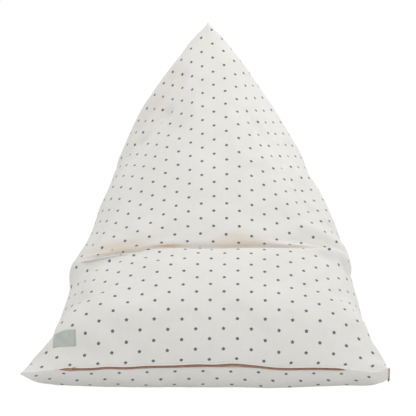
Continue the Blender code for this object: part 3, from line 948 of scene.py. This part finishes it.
def makeTopstitch(material, surface):
    s = stitchSettings
    before = -60
    bm = bmesh.new()
    left, right = zipOpening["left"] - 2, zipOpening["right"] + 2
    for way in (-1, 1):
        stitch = bmesh.new()
        bmesh.ops.create_uvsphere(stitch, u_segments=6, v_segments=6, radius=s["radius"])
        bmesh.ops.rotate(stitch, verts=stitch.verts, matrix=Matrix.Rotation(math.pi / 2, 3, "Y"))
        for vert in stitch.verts:
            if abs(vert.co.x) > 0.1 * s["radius"]:
                vert.co.x += math.copysign(s["long"] / 2 - s["radius"], vert.co.x)
        row = rowOf(stitch, int((right - left) / s["pitch"]), s["pitch"])
        points = readPoints(row)
        up = way * (coverSettings["lipOpen"] + s["away"])
        for n, start in enumerate(seamPoints(left + points[:, 0], before, up)):
            spot, out = fromFront(surface, start)
            lifted = spot + out * (s["proud"] - points[n, 1]) * mm
            row.vertices[n].co = lifted + Vector((0, 0, points[n, 2] * mm))
        addMesh(bm, row)
    for end in (left - s["tackOut"], right + s["tackOut"]):
        for level in range(s["tackTall"] + 1):
            ends = []
            for slant in (-s["tackHalf"], s["tackHalf"]):
                up = level - s["tackTall"] / 2 + s["tackSlant"] * slant
                spot, out = fromFront(surface, seamLine(end + slant, before, up))
                ends.append(spot + out * s["proud"] * mm)
            if (ends[1] - ends[0]).length < 4 * mm:
                addStitch(bm, ends[0], ends[1], s["tackRadius"] * mm)
    faceOut(bm)
    newPiece("zip_topstitch", bm, material)


sliderSettings = {
    "across": -279.0, "back": -0.9, "long": 15.0, "tall": 5.0, "thick": 2.6, "nose": 0.62, "edge": 0.3,
    "bridgeWire": 0.55, "bridgeHalf": 3.4, "bridgeFlat": 0.32, "bridgeSunk": 0.3,
}
pullerSettings = {"across": -266.8, "lift": 3.0, "back": -1.15, "long": 8.0, "tall": 5.2, "wire": 0.55}


# A half ring of wire, flattened onto the slider's front
def makeBridge():
    s = sliderSettings
    bridge = bmesh.new()
    ring = bmesh.ops.create_circle(bridge, radius=s["bridgeWire"] * mm, segments=10)["verts"]
    for vert in ring:
        vert.co = Vector((vert.co.x - s["bridgeHalf"] * mm, 0, vert.co.y))
    bmesh.ops.spin(
        bridge, geom=bridge.verts[:] + bridge.edges[:], cent=(0, 0, 0), axis=(0, 0, 1),
        angle=math.pi, steps=14, use_merge=False)
    bmesh.ops.contextual_create(bridge, geom=[e for e in bridge.edges if e.is_boundary][:10])
    bmesh.ops.contextual_create(bridge, geom=[e for e in bridge.edges if e.is_boundary])
    faceOut(bridge)
    way = -1 if sum(vert.co.y for vert in bridge.verts) > 0 else 1
    front = s["thick"] * 0.5 * mm
    for vert in bridge.verts:
        vert.co.y = way * vert.co.y * s["bridgeFlat"] - front + s["bridgeSunk"] * mm
    return toMesh("bridge", bridge)


def makeSlider(material):
    s = sliderSettings
    bm = bmesh.new()
    bmesh.ops.create_cube(bm, size=1)
    bmesh.ops.subdivide_edges(bm, edges=bm.edges, cuts=2, use_grid_fill=True)
    for vert in bm.verts:
        x, y, z = vert.co
        waist = 1 - (1 - s["nose"]) * smoothStep(0.5 - x)
        vert.co = Vector((x * s["long"], y * s["thick"], z * s["tall"] * waist)) * mm
    bmesh.ops.bevel(
        bm, geom=bm.edges, offset=s["edge"] * mm, segments=2, profile=0.5, affect="EDGES", material=-1)
    addMesh(bm, makeBridge())
    faceOut(bm)
    bmesh.ops.translate(bm, verts=bm.verts, vec=seamLine(s["across"], s["back"]))
    slider = newPiece("slider", bm, material)
    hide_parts("zip_slider")

    s = pullerSettings
    bm = bmesh.new()
    ring = bmesh.ops.create_circle(bm, radius=s["wire"] * mm, segments=12)["verts"]
    for vert in ring:
        vert.co = Vector((vert.co.x + (s["tall"] / 2 - s["wire"]) * mm, vert.co.y, 0))
    bmesh.ops.spin(
        bm, geom=bm.verts[:] + bm.edges[:], cent=(0, 0, 0), axis=(0, 1, 0),
        angle=2 * math.pi, steps=40, use_merge=True)
    faceOut(bm)
    for vert in bm.verts:
        vert.co.x *= s["long"] / s["tall"]
        vert.co += seamLine(s["across"], s["back"], s["lift"])
    puller = newPiece("puller", bm, material)
    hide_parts("zip_puller")


# Label corners on the cloth (around, along): bottom left, bottom right, top right, top left
labelSettings = {
    "corners": [(-318, 61), (-269, 56.5), (-270, 86), (-318, 90)],
    "size": (54.5, 33.0), "columns": 54, "rows": 33,
    "rise": 0.35, "thick": 0.7, "hem": 3.2, "hemRise": 0.35, "crown": 1.5,
    "stitchInset": 1.5, "stitchPitch": 2.6, "stitchLong": 1.7, "stitchRadius": 0.25, "stitchProud": 0.1,
}


# A point on the finished cover at one place of the cloth, and the way out of it
def onCover(surface, around, along):
    reach = 4
    here = np.array([around])
    middle = sectionAt(along, here)[0]
    runRound = sectionAt(along, here + reach)[0] - sectionAt(along, here - reach)[0]
    runAlong = sectionAt(along + reach, here)[0] - sectionAt(along - reach, here)[0]
    out = Vector(np.cross(runRound, runAlong)).normalized()
    hit = surface.ray_cast(Vector((middle + cadShift) * mm) + out * 40 * mm, -out)
    return hit[0], out


def makeLabel(material, thread, surface):
    s = labelSettings
    corners = [Vector(corner) for corner in s["corners"]]
    wide, tall = s["size"]

    # The cover is found at 9 by 7 probes, and between them by a ray along the mean way out
    probes = []
    for i in range(9):
        low, high = corners[0].lerp(corners[1], i / 8), corners[3].lerp(corners[2], i / 8)
        high.y += s["crown"] * math.sin(math.pi * i / 8)
        probes.append([onCover(surface, *low.lerp(high, j / 6)) for j in range(7)])

    def place(u, v, rise):
        i, j = min(int(u * 8), 7), min(int(v * 6), 5)
        parts = []
        for part in (0, 1):
            low = probes[i][j][part].lerp(probes[i + 1][j][part], u * 8 - i)
            high = probes[i][j + 1][part].lerp(probes[i + 1][j + 1][part], u * 8 - i)
            parts.append(low.lerp(high, v * 6 - j))
        out = parts[1].normalized()
        spot = surface.ray_cast(parts[0] + out * 15 * mm, -out)[0]
        return spot + out * rise * mm

    bm = sheetGrid("label", s["columns"], s["rows"], (wide, tall))
    for vert in bm.verts:
        u, v = vert.co.x + 0.5, vert.co.y + 0.5
        fromEnd = min(u, 1 - u) * wide
        hem = 1 - smoothStep((fromEnd - s["hem"] + 0.5) / 0.8)
        edge = smoothStep(min(fromEnd, v * tall, (1 - v) * tall) / 0.6)
        vert.co = place(u, v, s["rise"] + s["hemRise"] * hem * edge)
    thicken(bm, -s["thick"])
    label = newPiece("sewn_label", bm, material)
    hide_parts("label")

    bm = bmesh.new()
    inset, pitch = s["stitchInset"], s["stitchPitch"]
    rise = s["rise"] + s["thick"] + s["stitchProud"]
    right, top = wide - inset, tall - inset
    stops = [Vector(stop) for stop in ((inset, inset), (right, inset), (right, top), (inset, top))]
    for start, end in zip(stops, stops[1:] + stops[:1]):
        run = end - start
        for n in range(int(run.length / pitch)):
            a = start + run * (n * pitch / run.length)
            b = a + run.normalized() * s["stitchLong"]
            points = [place(at.x / wide, at.y / tall, rise) for at in (a, b)]
            addStitch(bm, points[0], points[1], s["stitchRadius"] * mm)
    newPiece("label_stitches", bm, thread)


tabSettings = {
    "tall": 25.0, "long": 12.6, "slot": 1.3, "thick": 1.1, "turn": 72.0,
    "bow": 0.7, "bulge": 0.35, "tucked": 2.0, "back": 0.2, "drop": 2.5,
}


# A tape folded back on itself behind the right front corner
def makeTab(material):
    s = tabSettings
    radius = (s["slot"] + s["thick"]) / 2
    straight = s["long"] - radius
    total = 2 * straight + math.pi * radius
    outward = radius + s["thick"] / 2 - s["tucked"]
    root = seamLine(sideRows[0][1]) + Vector((outward, s["back"], -s["drop"])) * mm
    turn = math.radians(s["turn"])
    ahead = Vector((math.cos(turn), math.sin(turn), 0))
    aside = Vector((-math.sin(turn), math.cos(turn), 0))
    bm = sheetGrid("tab", 44, 26, (total, s["tall"]))
    for vert in bm.verts:
        walk, share = (vert.co.x + 0.5) * total, vert.co.y
        if walk < straight:
            reach, side = walk, radius
        elif walk > total - straight:
            reach, side = total - walk, -radius
        else:
            bend = (walk - straight) / radius
            reach, side = straight + radius * math.sin(bend), radius * math.cos(bend)
        if abs(side) > 0.2:
            bulge = s["bulge"] * math.copysign(1, side) * math.sin(math.pi * min(reach / straight, 1))
            side += bulge * (1 - 2 * abs(share))
        reach -= s["bow"] * (2 * share) ** 2 * reach / s["long"]
        vert.co = root + (ahead * reach + aside * side) * mm + Vector((0, 0, share * s["tall"] * mm))
    thicken(bm, s["thick"])
    tab = newPiece("folded_tab", bm, material)
    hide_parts("corner_tab")


cover = makeCover(cottonMaterial())
print("cover made:", len(cover.data.polygons), "faces")

finished = bmesh.new()
finished.from_mesh(cover.data)
surface = BVHTree.FromBMesh(finished)
finished.free()
tapeMaterial = wovenMaterial("copper brown tape", "tape", 0.0009, 0.8, 0.00012)[0]
coilMaterial = grainMaterial("copper brown coil", "coil", 0.42, 0.0, 300.0, 0.00003, bumpGrain=2500.0)
makeZip(tapeMaterial, coilMaterial)
thread = grainMaterial("pale thread", "thread", 0.7, 0.1, 1200.0, 0.00005)
makeTopstitch(thread, surface)
gloss = {"Metallic": 0.75, "Coat Weight": 0.4, "Coat Roughness": 0.2}
metal = grainMaterial(
    "lacquered copper brown metal", "metal", 0.38, 0.0, 900.0, 0.00004, detail=3.0, low=0.35, gloss=gloss)
makeSlider(metal)
print("zip made")
makeLabel(labelMaterial(), thread, surface)
makeTab(tabMaterial())
print("label and tab made")

# The lights are name, place, size and power, and point at aim. floorShare is how much of the glow
# hides the floor's shade, first to the camera and then to everything else.
studioSettings = {
    "floorColour": (0.85, 0.85, 0.85, 1),
    "floorGlow": 1.03,
    "floorShare": (0.95, 0.3),
    "sky": 0.79,
    "lights": [
        ("key", (0.2, -0.5, 3.0), 2.4, 25),
        ("side", (1.6, 0.8, 2.0), 1.2, 9),
    ],
    "aim": (0, 0, 0.3),
}
cameraSettings = {"place": (0.0026, -3.1135, 0.8406), "tilt": 80, "lens": 117.35}


# White to the camera with a faint trace of the bag's shade, plain and pale to the light
def makeFloor():
    material, tree, shader = startMaterial("white floor", 0.9)
    shader.inputs["Base Color"].default_value = studioSettings["floorColour"]
    glow = newNode(tree, "Emission")
    glow.inputs["Strength"].default_value = studioSettings["floorGlow"]
    rays = newNode(tree, "LightPath")
    mixed = newNode(tree, "MixShader")
    seen, other = studioSettings["floorShare"]
    share = calc(tree, "MULTIPLY_ADD", rays.outputs["Is Camera Ray"], seen - other, other)
    for socket, value in zip(mixed.inputs, (share, shader.outputs[0], glow.outputs[0])):
        tree.links.new(value, socket)
    tree.links.new(mixed.outputs[0], tree.nodes["Material Output"].inputs["Surface"])
    bm = bmesh.new()
    bmesh.ops.create_grid(bm, x_segments=1, y_segments=1, size=60)
    mesh = toMesh("floor", bm)
    mesh.materials.append(material)
    floor = addObject("floor", mesh)


def makeStudio():
    world = bpy.data.worlds.new("studio")
    world.use_nodes = True
    sky = world.node_tree.nodes["Background"]
    setInputs(sky, {"Color": (1, 1, 1, 1), "Strength": studioSettings["sky"]})
    scene.world = world
    for name, place, size, power in studioSettings["lights"]:
        light = bpy.data.lights.new(name, "AREA")
        light.size = size
        light.energy = power
        lamp = addObject(name, light)
        lamp.location = place
        toward = Vector(studioSettings["aim"]) - Vector(place)
        lamp.rotation_euler = toward.to_track_quat("-Z", "Y").to_euler()

    data = bpy.data.cameras.new("camera")
    data.lens = cameraSettings["lens"]
    data.sensor_width = 36
    data.clip_end = 200
    camera = addObject("camera", data)
    camera.location = cameraSettings["place"]
    camera.rotation_euler = (math.radians(cameraSettings["tilt"]), 0, 0)
    scene.camera = camera
    scene.view_settings.view_transform = "Standard"


makeFloor()
makeStudio()
print("floor, lights and camera made")
